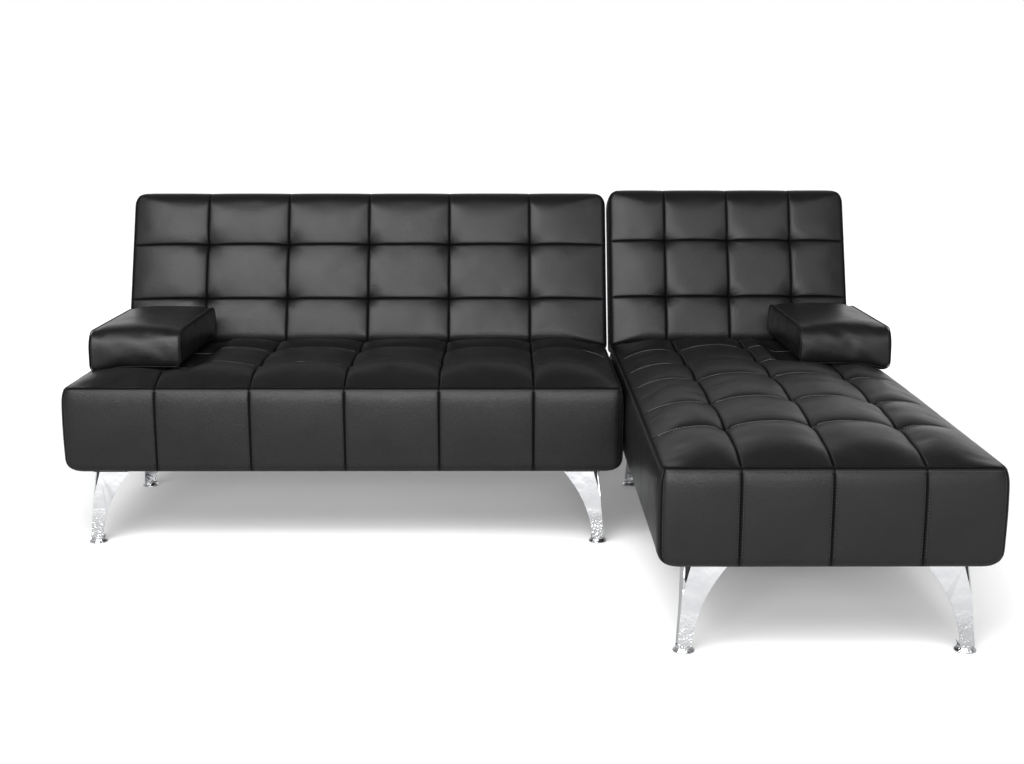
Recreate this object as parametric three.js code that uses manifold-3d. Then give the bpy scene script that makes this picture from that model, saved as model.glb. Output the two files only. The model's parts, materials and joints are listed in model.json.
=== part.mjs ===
// Sectional futon sofa bed: a three-seat sofa module and a chaise module side by side.
// Each module has an upholstered seat on a steel frame, four folded-sheet legs, and a back that
// reclines flat on two click-clack hinges. Two loose bolsters lie on the seats.
// Millimetres, +Z up, +Y to the rear. While it is built, X = 0 is the middle of the sofa module,
// Y = 0 its front face and Z = 0 the floor; the last lines centre the whole object.
import * as THREE from 'three';
import Module from 'manifold-3d';
import { mergeVertices } from 'three/addons/utils/BufferGeometryUtils.js';

// ---- driving dimensions ----
const SOFA = { name: 'sofa', width: 1475, front: 0, edgeTop: 432, crownTop: 447, backEnd: 517 };
const CHAISE = { name: 'chaise', width: 737, front: -790, edgeTop: 422, crownTop: 456, backEnd: 527 };
const MODULE_GAP = 11;
const SEAT_BOTTOM = 203;
const SEAT_REAR_TOP = 440;
const CROWN_RUN = 150;
const CROWN_RADIUS = 600;
const SEAT_EDGE_RADIUS = 28;
const SIDE_BEVEL = 22;

// hinge line between the seat's rear face and the back's lower face
const HINGE_Y = 682.5;
const HINGE_DEPTH = 40;
const HINGE_Z = SEAT_REAR_TOP - HINGE_DEPTH;
const HINGE_GAP = 28;
const HINGE_INSET = 95;
const RECLINE = THREE.MathUtils.degToRad(21);
const SEAT_REAR = HINGE_Y - HINGE_GAP / 2;

// back, measured from the hinge line: up its length, and forward or rearward of the line
const BACK_START = HINGE_GAP / 2;
const BACK_FRONT = HINGE_DEPTH;
const BACK_REAR = -84;
const BACK_TOP_RADIUS = 45;
const BACK_REAR_RADIUS = 24;
const PANEL_THICKNESS = 16;
const PANEL_INSET = 14;
const PANEL_CORNER = 40;
const CORE_THICKNESS = 12;
const CORE_MARGIN = 40;

// frame and boards inside the seat
const POCKET_MARGIN = 40;
const POCKET_DEPTH = 45;
const RAIL_SIZE = 30;
const RAIL_WALL = 2;
const DECK_THICKNESS = 12;
const DUST_COVER_THICKNESS = 1.5;
const GAP = 0.3;

// legs
const LEG_TOP = 194;
const LEG_BASE = 16;
const LEG_SHEET = 2.5;
const LEG_TOP_WIDTH = 93;
const LEG_BASE_WIDTH = 31;
const LEG_CURVE_POWER = 2.2;
const LEG_SPLAY = 15 / (LEG_TOP - LEG_BASE);
const LEG_STEPS = 9;
const NOTCH_WIDTH = 13;
const NOTCH_START = 125;
const FOOT_RADIUS = 24;
const FOOT_NECK = 18;
const FOOT_RIM = 3;
const FOOT_INSET_X = 63;
const FOOT_INSET_FRONT = 30;
const FOOT_INSET_REAR = 60;
const RIDGE_TO_FOOT = LEG_BASE_WIDTH / 2;
const BRACKET_START = 12;
const BRACKET_END = 104;
const BRACKET_BLOCK_START = 18.5;
const BRACKET_BLOCK_END = 56;
const BRACKET_BLOCK_Z = 150;

// hinge hardware
const FLANGE_WIDTH = 64;
const FLANGE_LENGTH = 72;
const FLANGE_START = 4;
const FLANGE_THICKNESS = 3;
const LUG_RADIUS = 10;
const LUG_THICKNESS = 5;
const LUG_GAP = 0.5;
const BOLT_RADIUS = 4;
const BOLT_HOLE_RADIUS = 4.5;
const BOLT_HEAD_RADIUS = 7.5;
const BOLT_HEAD_HEIGHT = 5;
const SCREW_HEAD_RADIUS = 5;
const SCREW_HEAD_HEIGHT = 3;

// link plate under the seats
const LINK_WIDTH = 150;
const LINK_DEPTH = 70;
const LINK_THICKNESS = 3;
const LINK_Y = 330;

// bolsters
const BOLSTER_WIDTH = 258;
const BOLSTER_LENGTH = 500;
const BOLSTER_HEIGHT = 115;
const BOLSTER_EDGE_RADIUS = 34;
const BOLSTER_END_BEVEL = 28;
const BOLSTER_REAR = 655;
const SOFA_BOLSTER_X = -587;
const CHAISE_BOLSTER_X = 1355;

const SOFA_X = 0;
const CHAISE_X = (SOFA.width + CHAISE.width) / 2 + MODULE_GAP;

// ---- materials ----
function finish(color, roughness, metalness) {
  return new THREE.MeshStandardMaterial({ color, roughness, metalness });
}
const leather = finish(0x1a1a1b, 0.42, 0);
const dustCloth = finish(0x141414, 0.95, 0);
const plywood = finish(0xb08d5c, 0.7, 0);
const frameSteel = finish(0x202224, 0.5, 0.6);
const zincSteel = finish(0x9a9da1, 0.35, 1);
const chrome = finish(0xd8dadd, 0.08, 1);
const blackPlastic = finish(0x0d0d0e, 0.55, 0);

// ---- solids ----
const wasm = await Module();
wasm.setup();

function toSolid(geometry) {
  const bare = geometry.clone();
  bare.deleteAttribute('normal');
  bare.deleteAttribute('uv');
  const merged = mergeVertices(bare, 1e-4);
  const mesh = new wasm.Mesh({
    numProp: 3,
    vertProperties: merged.attributes.position.array,
    triVerts: merged.index.array,
  });
  return new wasm.Manifold(mesh);
}

function toGeometry(solid) {
  const mesh = solid.getMesh();
  const geometry = new THREE.BufferGeometry();
  geometry.setAttribute('position', new THREE.BufferAttribute(mesh.vertProperties, 3));
  geometry.setIndex(new THREE.BufferAttribute(mesh.triVerts, 1));
  geometry.computeVertexNormals();
  return geometry;
}

// a box from its low and high corners
function box(low, high) {
  const size = high.map((value, axis) => value - low[axis]);
  const middle = high.map((value, axis) => (value + low[axis]) / 2);
  return new THREE.BoxGeometry(...size).translate(...middle);
}

// a cylinder standing on a point of a plane, along the unit axis 'x', 'y' or 'z'
function disc(radius, height, sides, centre, axis) {
  const geometry = new THREE.CylinderGeometry(radius, radius, height, sides);
  if (axis === 'x') geometry.rotateZ(-Math.PI / 2);
  if (axis === 'z') geometry.rotateX(Math.PI / 2);
  return geometry.translate(...centre);
}

// convex outline, counter-clockwise, each corner given as [a, b, radius]
function roundedOutline(corners) {
  const shape = new THREE.Shape();
  corners.forEach(([a, b, radius], index) => {
    const before = corners.at(index - 1);
    const after = corners[(index + 1) % corners.length];
    const arriving = new THREE.Vector2(a - before[0], b - before[1]).normalize();
    const leaving = new THREE.Vector2(after[0] - a, after[1] - b).normalize();
    const turn = Math.acos(THREE.MathUtils.clamp(arriving.dot(leaving), -1, 1));
    const cut = radius * Math.tan(turn / 2);
    const centreA = a - arriving.x * cut - arriving.y * radius;
    const centreB = b - arriving.y * cut + arriving.x * radius;
    const startAngle = arriving.angle() - Math.PI / 2;
    shape.absarc(centreA, centreB, radius, startAngle, startAngle + turn, false);
  });
  shape.closePath();
  return shape;
}

// shape drawn in (Y, Z), extruded along X between two values, with rounded ends if bevel > 0
function extrudeX(shape, start, end, bevel = 0) {
  const geometry = new THREE.ExtrudeGeometry(shape, {
    depth: end - start - 2 * bevel,
    bevelEnabled: bevel > 0,
    bevelThickness: bevel,
    bevelSize: bevel,
    bevelOffset: -bevel,
    bevelSegments: 3,
    curveSegments: 2,
  });
  const turn = new THREE.Matrix4().makeBasis(
    new THREE.Vector3(0, 1, 0),
    new THREE.Vector3(0, 0, 1),
    new THREE.Vector3(1, 0, 0),
  );
  return geometry.applyMatrix4(turn).translate(start + bevel, 0, 0);
}

// shape drawn in (X, Z), extruded along Y between two values, with rounded ends if bevel > 0
function extrudeY(shape, start, end, bevel = 0) {
  const geometry = new THREE.ExtrudeGeometry(shape, {
    depth: end - start - 2 * bevel,
    bevelEnabled: bevel > 0,
    bevelThickness: bevel,
    bevelSize: bevel,
    bevelOffset: -bevel,
    bevelSegments: 3,
    curveSegments: 2,
  });
  return geometry.rotateX(Math.PI / 2).translate(0, end - bevel, 0);
}

function part(name, geometry, material) {
  const mesh = new THREE.Mesh(geometry, material);
  mesh.name = name;
  return mesh;
}

// ---- seat ----
// foam block: rounded edges, crowned top, and a pocket underneath that holds the frame
function seatCushion({ width, front, edgeTop, crownTop }) {
  const outline = roundedOutline([
    [front, SEAT_BOTTOM, SEAT_EDGE_RADIUS],
    [SEAT_REAR, SEAT_BOTTOM, SEAT_EDGE_RADIUS],
    [SEAT_REAR, SEAT_REAR_TOP, HINGE_DEPTH],
    [SEAT_REAR - CROWN_RUN, crownTop, CROWN_RADIUS],
    [front + CROWN_RUN, crownTop, CROWN_RADIUS],
    [front, edgeTop, SEAT_EDGE_RADIUS],
  ]);
  const block = extrudeX(outline, -width / 2, width / 2, SIDE_BEVEL);
  const pocket = box(
    [-width / 2 + POCKET_MARGIN, front + POCKET_MARGIN, SEAT_BOTTOM - 10],
    [width / 2 - POCKET_MARGIN, SEAT_REAR - POCKET_MARGIN, SEAT_BOTTOM + POCKET_DEPTH],
  );
  return toGeometry(toSolid(block).subtract(toSolid(pocket)));
}

// square tube along X, its section from (y, z), open at both ends
function railX(length, y, z) {
  const section = roundedOutline(squareCorners(y, z, RAIL_SIZE, 3));
  section.holes.push(roundedOutline(squareCorners(
    y + RAIL_WALL,
    z + RAIL_WALL,
    RAIL_SIZE - 2 * RAIL_WALL,
    1,
  )));
  return extrudeX(section, -length / 2, length / 2);
}

function squareCorners(a, b, size, radius) {
  return [
    [a, b, radius],
    [a + size, b, radius],
    [a + size, b + size, radius],
    [a, b + size, radius],
  ];
}

// welded frame as four tubes, the deck board on it, and the cloth that closes the pocket
function seatFrame({ name, width, front }) {
  const railZ = SEAT_BOTTOM + DUST_COVER_THICKNESS + GAP;
  const deckZ = railZ + RAIL_SIZE + GAP;
  const left = -width / 2 + POCKET_MARGIN + 1;
  const near = front + POCKET_MARGIN + 1;
  const far = SEAT_REAR - POCKET_MARGIN - 1;
  const sideLength = far - near - 2 * RAIL_SIZE - 2 * GAP;
  const sideMiddle = (near + far) / 2;
  const pieces = [
    part(`${name}_front_rail`, railX(-2 * left, near, railZ), frameSteel),
    part(`${name}_rear_rail`, railX(-2 * left, far - RAIL_SIZE, railZ), frameSteel),
    part(`${name}_deck_board`, box([left, near, deckZ], [-left, far, deckZ + DECK_THICKNESS]), plywood),
    part(`${name}_dust_cover`,
      box([left, near, SEAT_BOTTOM], [-left, far, SEAT_BOTTOM + DUST_COVER_THICKNESS]), dustCloth),
  ];
  for (const [side, x] of [['left', left + RAIL_SIZE], ['right', -left]]) {
    const rail = part(`${name}_${side}_rail`, railX(sideLength, 0, 0), frameSteel);
    rail.rotation.z = Math.PI / 2;
    rail.position.set(x, sideMiddle, railZ);
    pieces.push(rail);
  }
  return pieces;
}

// ---- legs ----
// one blade: straight outer edge with a slanted notch at the top, concave inner edge
function bladeOutline() {
  const shape = new THREE.Shape();
  shape.moveTo(0, LEG_BASE);
  for (let step = 0; step <= LEG_STEPS; step += 1) {
    const t = step / LEG_STEPS;
    const width = LEG_BASE_WIDTH + (LEG_TOP_WIDTH - LEG_BASE_WIDTH) * t ** LEG_CURVE_POWER;
    shape.lineTo(width, LEG_BASE + (LEG_TOP - LEG_BASE) * t);
  }
  shape.lineTo(NOTCH_WIDTH, LEG_TOP);
  shape.lineTo(0, NOTCH_START);
  shape.closePath();
  return shape;
}

// folded sheet leg: a front blade, a side blade and a small base tab, leaning out to its foot.
// outX and outY point from the leg to the nearest side and to the front or rear.
function leg(outX, outY) {
  const frontBlade = extrudeY(bladeOutline(), 0, LEG_SHEET);
  const sideBlade = extrudeX(bladeOutline(), 0, LEG_SHEET);
  const tab = box([0, 0, LEG_BASE], [LEG_BASE_WIDTH, LEG_BASE_WIDTH, LEG_BASE + LEG_SHEET]);
  const lean = new THREE.Matrix4().makeShear(0, 0, 0, 0, LEG_SPLAY, LEG_SPLAY);
  const folded = toGeometry(toSolid(frontBlade).add(toSolid(sideBlade)).add(toSolid(tab)));
  const toFoot = new THREE.Matrix4().makeTranslation(-RIDGE_TO_FOOT, -RIDGE_TO_FOOT, 0);
  folded.translate(0, 0, -LEG_BASE).applyMatrix4(lean).translate(0, 0, LEG_BASE);
  return toGeometry(toSolid(folded.applyMatrix4(toFoot)).scale([-outX, -outY, 1]));
}

// moulded bracket between the leg and the seat: a plate, and a block that fills the leg's corner
function legBracket(outX, outY) {
  const plate = box(
    [BRACKET_START, BRACKET_START, LEG_TOP + GAP],
    [BRACKET_END, BRACKET_END, SEAT_BOTTOM - GAP],
  );
  const block = box(
    [BRACKET_BLOCK_START, BRACKET_BLOCK_START, BRACKET_BLOCK_Z],
    [BRACKET_BLOCK_END, BRACKET_BLOCK_END, LEG_TOP + 4],
  );
  const joined = toSolid(plate).add(toSolid(block)).translate([-RIDGE_TO_FOOT, -RIDGE_TO_FOOT, 0]);
  return toGeometry(joined.scale([-outX, -outY, 1]));
}

// round flared foot
function foot() {
  const profile = [
    [0, 0],
    [FOOT_RADIUS, 0],
    [FOOT_RADIUS, FOOT_RIM],
    [FOOT_RADIUS - 3, 6],
    [FOOT_NECK, 10],
    [FOOT_NECK, LEG_BASE - GAP],
    [0, LEG_BASE - GAP],
  ].map(([radius, z]) => new THREE.Vector2(radius, z));
  return new THREE.LatheGeometry(profile, 18).rotateX(Math.PI / 2);
}

function legSet({ name, width, front }) {
  const corners = [
    ['front_left', -1, -1, front + FOOT_INSET_FRONT],
    ['front_right', 1, -1, front + FOOT_INSET_FRONT],
    ['rear_left', -1, 1, SEAT_REAR - FOOT_INSET_REAR],
    ['rear_right', 1, 1, SEAT_REAR - FOOT_INSET_REAR],
  ];
  return corners.map(([corner, outX, outY, y]) => {
    const group = new THREE.Group();
    group.position.set(outX * (width / 2 - FOOT_INSET_X), y, 0);
    group.add(
      part(`${name}_leg_${corner}`, leg(outX, outY), chrome),
      part(`${name}_leg_bracket_${corner}`, legBracket(outX, outY), blackPlastic),
      part(`${name}_foot_${corner}`, foot(), chrome),
    );
    return group;
  });
}

// ---- click-clack hinges ----
// Plate in the hinge's own frame: the hinge line is X, the plate lies against a face at
// Y = -HINGE_GAP / 2 and hangs down from the line, and its lug reaches out to the hinge line.
function hingePlate(lugStart) {
  const face = -HINGE_GAP / 2 + GAP;
  const inner = face + FLANGE_THICKNESS;
  const low = -FLANGE_START - FLANGE_LENGTH;
  const flange = box([-FLANGE_WIDTH / 2, face, low], [FLANGE_WIDTH / 2, inner, -FLANGE_START]);
  const neck = box(
    [lugStart, inner - 1, -FLANGE_START - 24],
    [lugStart + LUG_THICKNESS, inner + 4, -FLANGE_START],
  );
  const web = new THREE.Shape();
  web.moveTo(inner - 1, -FLANGE_START - 24);
  web.lineTo(inner + 4, -FLANGE_START - 24);
  web.lineTo(LUG_RADIUS * Math.cos(-0.5), LUG_RADIUS * Math.sin(-0.5));
  web.absarc(0, 0, LUG_RADIUS, -0.5, Math.PI + 0.4, false);
  web.lineTo(inner - 1, -FLANGE_START);
  web.closePath();
  const lug = extrudeX(web, lugStart, lugStart + LUG_THICKNESS);
  const lugMiddle = lugStart + LUG_THICKNESS / 2;
  const hole = disc(BOLT_HOLE_RADIUS, 3 * LUG_THICKNESS, 16, [lugMiddle, 0, 0], 'x');
  let solid = toSolid(flange).add(toSolid(neck)).add(toSolid(lug)).subtract(toSolid(hole));
  for (const x of [-FLANGE_WIDTH / 3, FLANGE_WIDTH / 3]) {
    const centre = [x, inner + SCREW_HEAD_HEIGHT / 2 - 0.5, low + FLANGE_LENGTH / 3];
    solid = solid.add(toSolid(disc(SCREW_HEAD_RADIUS, SCREW_HEAD_HEIGHT, 6, centre, 'y')));
  }
  return toGeometry(solid);
}

// pivot bolt with its head and nut, along X through both lugs
function pivotBolt() {
  const start = -LUG_THICKNESS - LUG_GAP - BOLT_HEAD_HEIGHT;
  const end = LUG_THICKNESS + LUG_GAP + BOLT_HEAD_HEIGHT;
  const shaft = disc(BOLT_RADIUS, end - start, 16, [0, 0, 0], 'x');
  const head = disc(BOLT_HEAD_RADIUS, BOLT_HEAD_HEIGHT, 12, [start + BOLT_HEAD_HEIGHT / 2, 0, 0], 'x');
  const nut = disc(BOLT_HEAD_RADIUS, BOLT_HEAD_HEIGHT, 6, [end - BOLT_HEAD_HEIGHT / 2, 0, 0], 'x');
  return toGeometry(toSolid(shaft).add(toSolid(head)).add(toSolid(nut)));
}

// ---- back ----
// drawn in the hinge's frame with the back upright: Z up its length, Y to the rear
function backCushion({ width, backEnd }) {
  const outline = roundedOutline([
    [-BACK_FRONT, BACK_START, HINGE_DEPTH],
    [-BACK_REAR, BACK_START, BACK_REAR_RADIUS],
    [-BACK_REAR, backEnd, BACK_REAR_RADIUS],
    [-BACK_FRONT, backEnd, BACK_TOP_RADIUS],
  ]);
  const block = extrudeX(outline, -width / 2, width / 2, SIDE_BEVEL);
  const pocket = box(
    [-width / 2 + CORE_MARGIN, -BACK_REAR - CORE_THICKNESS - 1, BACK_START + CORE_MARGIN],
    [width / 2 - CORE_MARGIN, -BACK_REAR + 10, backEnd - CORE_MARGIN],
  );
  return toGeometry(toSolid(block).subtract(toSolid(pocket)));
}

function backCore({ width, backEnd }) {
  const rear = -BACK_REAR - GAP;
  return box(
    [-width / 2 + CORE_MARGIN + 1, rear - CORE_THICKNESS, BACK_START + CORE_MARGIN + 1],
    [width / 2 - CORE_MARGIN - 1, rear, backEnd - CORE_MARGIN - 1],
  );
}

function backPanel({ width, backEnd }) {
  const side = width / 2 - PANEL_INSET;
  const outline = roundedOutline([
    [-side, BACK_START + PANEL_INSET, PANEL_CORNER],
    [side, BACK_START + PANEL_INSET, PANEL_CORNER],
    [side, backEnd - PANEL_INSET, PANEL_CORNER],
    [-side, backEnd - PANEL_INSET, PANEL_CORNER],
  ]);
  return extrudeY(outline, -BACK_REAR + GAP, -BACK_REAR + PANEL_THICKNESS, 4);
}

// the back with its two hinge arms, turned about the hinge line to its resting slope
function back(shape, moduleX) {
  const { name, width } = shape;
  const group = new THREE.Group();
  group.position.set(moduleX, HINGE_Y, HINGE_Z);
  group.rotation.x = -RECLINE;
  group.add(
    part(`${name}_back_cushion`, backCushion(shape), leather),
    part(`${name}_back_core_board`, backCore(shape), plywood),
    part(`${name}_back_panel`, backPanel(shape), leather),
  );
  for (const [side, out] of [['left', -1], ['right', 1]]) {
    const arm = part(`${name}_hinge_arm_${side}`, hingePlate(-LUG_THICKNESS - LUG_GAP / 2), zincSteel);
    arm.position.x = out * (width / 2 - HINGE_INSET);
    arm.rotation.set(-Math.PI / 2, Math.PI, 0);
    group.add(arm);
  }
  return group;
}

// seat-side plates and pivot bolts, which stay with the seat
function hingeBase({ name, width }) {
  return [['left', -1], ['right', 1]].flatMap(([side, out]) => {
    const x = out * (width / 2 - HINGE_INSET);
    const plate = part(`${name}_hinge_plate_${side}`, hingePlate(-LUG_THICKNESS - LUG_GAP / 2), zincSteel);
    const bolt = part(`${name}_hinge_bolt_${side}`, pivotBolt(), zincSteel);
    plate.position.set(x, HINGE_Y, HINGE_Z);
    bolt.position.set(x, HINGE_Y, HINGE_Z);
    return [plate, bolt];
  });
}

// ---- modules, link plate and bolsters ----
function module(shape, moduleX) {
  const group = new THREE.Group();
  group.position.x = moduleX;
  group.add(
    part(`${shape.name}_seat_cushion`, seatCushion(shape), leather),
    ...seatFrame(shape),
    ...legSet(shape),
    ...hingeBase(shape),
  );
  return group;
}

// flat plate that bridges the gap between the modules, with four screw heads
function linkPlate() {
  const top = SEAT_BOTTOM - GAP;
  const low = top - LINK_THICKNESS;
  let solid = toSolid(box(
    [-LINK_WIDTH / 2, -LINK_DEPTH / 2, low],
    [LINK_WIDTH / 2, LINK_DEPTH / 2, top],
  ));
  for (const x of [-LINK_WIDTH / 3, LINK_WIDTH / 3]) {
    for (const y of [-LINK_DEPTH / 4, LINK_DEPTH / 4]) {
      const centre = [x, y, low - SCREW_HEAD_HEIGHT / 2 + 0.5];
      solid = solid.add(toSolid(disc(SCREW_HEAD_RADIUS, SCREW_HEAD_HEIGHT, 6, centre, 'z')));
    }
  }
  return toGeometry(solid);
}

function bolster() {
  const outline = roundedOutline([
    [-BOLSTER_WIDTH / 2, 0, BOLSTER_EDGE_RADIUS],
    [BOLSTER_WIDTH / 2, 0, BOLSTER_EDGE_RADIUS],
    [BOLSTER_WIDTH / 2, BOLSTER_HEIGHT, BOLSTER_EDGE_RADIUS],
    [-BOLSTER_WIDTH / 2, BOLSTER_HEIGHT, BOLSTER_EDGE_RADIUS],
  ]);
  return extrudeY(outline, -BOLSTER_LENGTH, 0, BOLSTER_END_BEVEL);
}

function placedBolster(name, x, seatTop) {
  const cushion = part(name, bolster(), leather);
  cushion.position.set(x, BOLSTER_REAR, seatTop + 1);
  return cushion;
}

const sofa = new THREE.Group();
const link = part('link_plate', linkPlate(), zincSteel);
link.position.set((SOFA.width + MODULE_GAP) / 2, LINK_Y, 0);
sofa.add(
  module(SOFA, SOFA_X),
  back(SOFA, SOFA_X),
  module(CHAISE, CHAISE_X),
  back(CHAISE, CHAISE_X),
  link,
  placedBolster('sofa_bolster', SOFA_BOLSTER_X, SOFA.crownTop),
  placedBolster('chaise_bolster', CHAISE_BOLSTER_X, CHAISE.crownTop),
);

// origin at the middle of the footprint, on the floor
sofa.updateMatrixWorld(true);
const extent = new THREE.Box3().setFromObject(sofa, true);
sofa.position.set(-(extent.min.x + extent.max.x) / 2, -(extent.min.y + extent.max.y) / 2, -extent.min.z);

export default sofa;
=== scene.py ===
"""Sectional futon sofa bed: upholstery, stitching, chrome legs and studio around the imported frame.

Every tufted cushion is one closed grid. Its tufted face is a height w over (u, v): u runs along X, v runs to
the rear on a seat and up the slope on a back, and w points out of the tufted face. Metres throughout.
"""
import math

import bpy
import numpy as np
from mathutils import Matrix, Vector
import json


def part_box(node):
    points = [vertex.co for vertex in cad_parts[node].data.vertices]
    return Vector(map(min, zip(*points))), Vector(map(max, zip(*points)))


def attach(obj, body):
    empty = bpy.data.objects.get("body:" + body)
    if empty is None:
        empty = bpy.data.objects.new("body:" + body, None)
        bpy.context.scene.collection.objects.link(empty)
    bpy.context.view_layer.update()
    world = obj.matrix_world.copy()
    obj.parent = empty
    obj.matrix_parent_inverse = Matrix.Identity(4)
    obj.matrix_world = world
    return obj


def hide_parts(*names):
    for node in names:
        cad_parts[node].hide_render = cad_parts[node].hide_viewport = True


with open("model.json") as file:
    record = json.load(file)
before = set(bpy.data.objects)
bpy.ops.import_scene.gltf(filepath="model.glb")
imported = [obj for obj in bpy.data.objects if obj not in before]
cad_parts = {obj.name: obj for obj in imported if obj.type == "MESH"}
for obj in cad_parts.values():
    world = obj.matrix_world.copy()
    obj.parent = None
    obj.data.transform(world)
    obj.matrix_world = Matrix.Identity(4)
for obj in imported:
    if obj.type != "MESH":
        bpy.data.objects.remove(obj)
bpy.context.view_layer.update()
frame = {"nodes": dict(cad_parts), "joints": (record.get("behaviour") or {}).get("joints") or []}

MM = 0.001
SEED = 11
NODES = frame["nodes"]

# ---------------------------------------------------------------- sizes taken from the frame
HINGE = Vector(next(j for j in frame["joints"] if j["name"] == "sofa_back_recline")["pos_m"])
RECLINE = math.radians(21)
SEAT_REAR_LEVEL = HINGE.z + 40 * MM
HINGE_ROLL = 40 * MM
BACK_FRONT = 40 * MM
BACK_REAR = -84 * MM
BACK_START = 14 * MM
BACK_TOP_ROLL = 45 * MM

# ---------------------------------------------------------------- upholstery layout
SOFA = dict(
    name="sofa",
    columns=[0.250 * i for i in (-2, -1, 0, 1, 2)],
    seat_rows=[0.190, 0.420],
    back_rows=[0.1675, 0.3405],
    back_end=0.517,
    outer_swell=10 * MM,
    seat=dict(
        edge_levels=(0.427, 0.427), rise=21 * MM, crown_reach=(0.2375, 0.190),
        lift=(17 * MM, 12 * MM, 24 * MM), rim_drop=4 * MM,
    ),
)
CHAISE = dict(
    name="chaise",
    columns=[0.195 * i for i in (-1, 0, 1)],
    seat_rows=[0.250, 0.485, 0.760, 0.970, 1.190],
    back_rows=[0.1735, 0.3530],
    back_end=0.527,
    outer_swell=3 * MM,
    seat=dict(
        edge_levels=(0.4145, 0.427), rise=34 * MM, crown_reach=(0.3685, 0.450),
        lift=(16 * MM, 12 * MM, 24 * MM), rim_drop=8 * MM,
    ),
)
EDGE_RAMP = 0.790                                   # over which a seat's edge rises to its rear level
INSET_REACH = 110 * MM                              # how far in from an edge its rounding draws the grid
RIM_REACH = 60 * MM

WAVE_SIZE, WAVE_HEIGHT, WAVE_FADE = 130 * MM, 1.8 * MM, 60 * MM
PIT_STRETCH = 1.25
PUCKER_REACH, PUCKER_COUNTS, PUCKER_TWIST = 14 * MM, (9, 13), 1.5
ROLL_PROUD, ROLL_SLOPE, ROLL_EASE = 0.5 * MM, 0.40, 50 * MM
PRESS_REACH, PRESS_EASE, PRESS_RISE = 20 * MM, 120 * MM, 50 * MM
EDGE_DEPTH, EDGE_WIDTH, GROOVE_FADE = 1.2 * MM, 2.5 * MM, 14 * MM
WALL_CUT_DEPTH, WALL_CUT_WIDTH, WALL_PINCH = 3.0 * MM, 2.5 * MM, 30 * MM
WALL_STEP, WALL_FIRST_STEP = 11 * MM, 1.2 * MM
SCALLOP_REACH = 80 * MM
SEAM_OFFSETS = [0, 1.1, 2.3, 3.6, 5.2, 7.5, 11, 16]
CELL_STEP = 11 * MM
LIP_OFFSET, LIP_REACH = 5.4 * MM, 1.6 * MM
TUFT_POWER = 2.5

STITCH_PITCH, STITCH_LENGTH, STITCH_RADIUS = 7.0 * MM, 5.2 * MM, 0.8 * MM
STITCH_OFFSET, STITCH_MARGIN = 5.0 * MM, 14 * MM
# How far the painted shade in each seam reaches.
SEAM_SHADE_REACH = 3.2 * MM
BEAD = 1.7 * MM                                     # radius of the piping


# ---------------------------------------------------------------- small helpers
def smooth(x):
    x = np.clip(x, 0, 1)
    return x * x * (3 - 2 * x)


def soft_min(a, b, reach):
    """The lower of a and b, rounded over reach where they cross."""
    h = np.clip(0.5 + 0.5 * (b - a) / reach, 0, 1)
    return b * (1 - h) + a * h - reach * h * (1 - h)


def arc_inset(high, radius):
    """How far a rounded edge is drawn in, at a height above its base."""
    left = np.clip(1 - high / radius, 0, 1)
    return radius * (1 - np.sqrt(1 - left**2))


def grid_lines(seams, offsets, step):
    """Grid lines across every cell between seams: the offsets beside each seam, then even steps."""
    lines = set()
    for low, high in zip(seams, seams[1:]):
        edge = offsets[-1] * MM
        count = max(2, round((high - low - 2 * edge) / step))
        middle = np.linspace(low + edge, high - edge, count + 1)
        cell = [low + o * MM for o in offsets] + list(middle) + [high - o * MM for o in offsets]
        lines.update(round(x, 6) for x in cell)
    return np.array(sorted(lines))


def with_roll(lines, end, inward, radius, steps):
    """The grid lines with those over a rounded edge spaced evenly round its arc instead."""
    arc = [end + inward * radius * (1 - math.cos(math.pi / 2 * i / steps)) for i in range(steps + 1)]
    keep = [x for x in lines if (x - end - inward * radius) * inward > 2 * MM]
    return np.array(sorted(keep + arc))


def waves(u, v, seed, size, height, count=7):
    """Gentle unevenness: a few plane waves about size long, together about height tall."""
    rng = np.random.default_rng(seed)
    total = np.zeros_like(u)
    for _ in range(count):
        angle, phase = rng.uniform(0, 2 * math.pi, 2)
        length = size * rng.uniform(0.6, 1.6)
        along = u * math.cos(angle) + v * math.sin(angle)
        total += np.sin(2 * math.pi * along / length + phase)
    return total * height / count


def cubic_weights(lines, targets):
    """Matrix that carries values on lines to the targets, by smooth cubic pieces."""
    n = len(lines)
    places, picks = np.arange(n), np.eye(n)
    before, after = np.maximum(places - 1, 0), np.minimum(places + 1, n - 1)
    slopes = (picks[after] - picks[before]) / (lines[after] - lines[before])[:, None]
    index = np.clip(np.searchsorted(lines, targets, side="right") - 1, 0, n - 2)
    span = (lines[index + 1] - lines[index])[:, None]
    t = np.clip((targets - lines[index])[:, None] / span, 0, 1)
    value = (2 * t**3 - 3 * t**2 + 1) * picks[index] + (3 * t**2 - 2 * t**3) * picks[index + 1]
    slope = (t**3 - 2 * t**2 + t) * slopes[index] + (t**3 - t**2) * slopes[index + 1]
    return value + span * slope


def sample(grid, a_lines, b_lines, a, b):
    """Value of a grid of points at (a, b), straight between grid lines."""
    i = np.clip(np.searchsorted(a_lines, a, side="right") - 1, 0, len(a_lines) - 2)
    j = np.clip(np.searchsorted(b_lines, b, side="right") - 1, 0, len(b_lines) - 2)
    fa = ((a - a_lines[i]) / (a_lines[i + 1] - a_lines[i]))[:, None]
    fb = ((b - b_lines[j]) / (b_lines[j + 1] - b_lines[j]))[:, None]
    near = grid[i, j] * (1 - fa) + grid[i + 1, j] * fa
    far = grid[i, j + 1] * (1 - fa) + grid[i + 1, j + 1] * fa
    return near * (1 - fb) + far * fb


def unit(vectors):
    return vectors / np.maximum(np.linalg.norm(vectors, axis=-1, keepdims=True), 1e-12)


def link(obj):
    bpy.context.scene.collection.objects.link(obj)
    return obj


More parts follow.
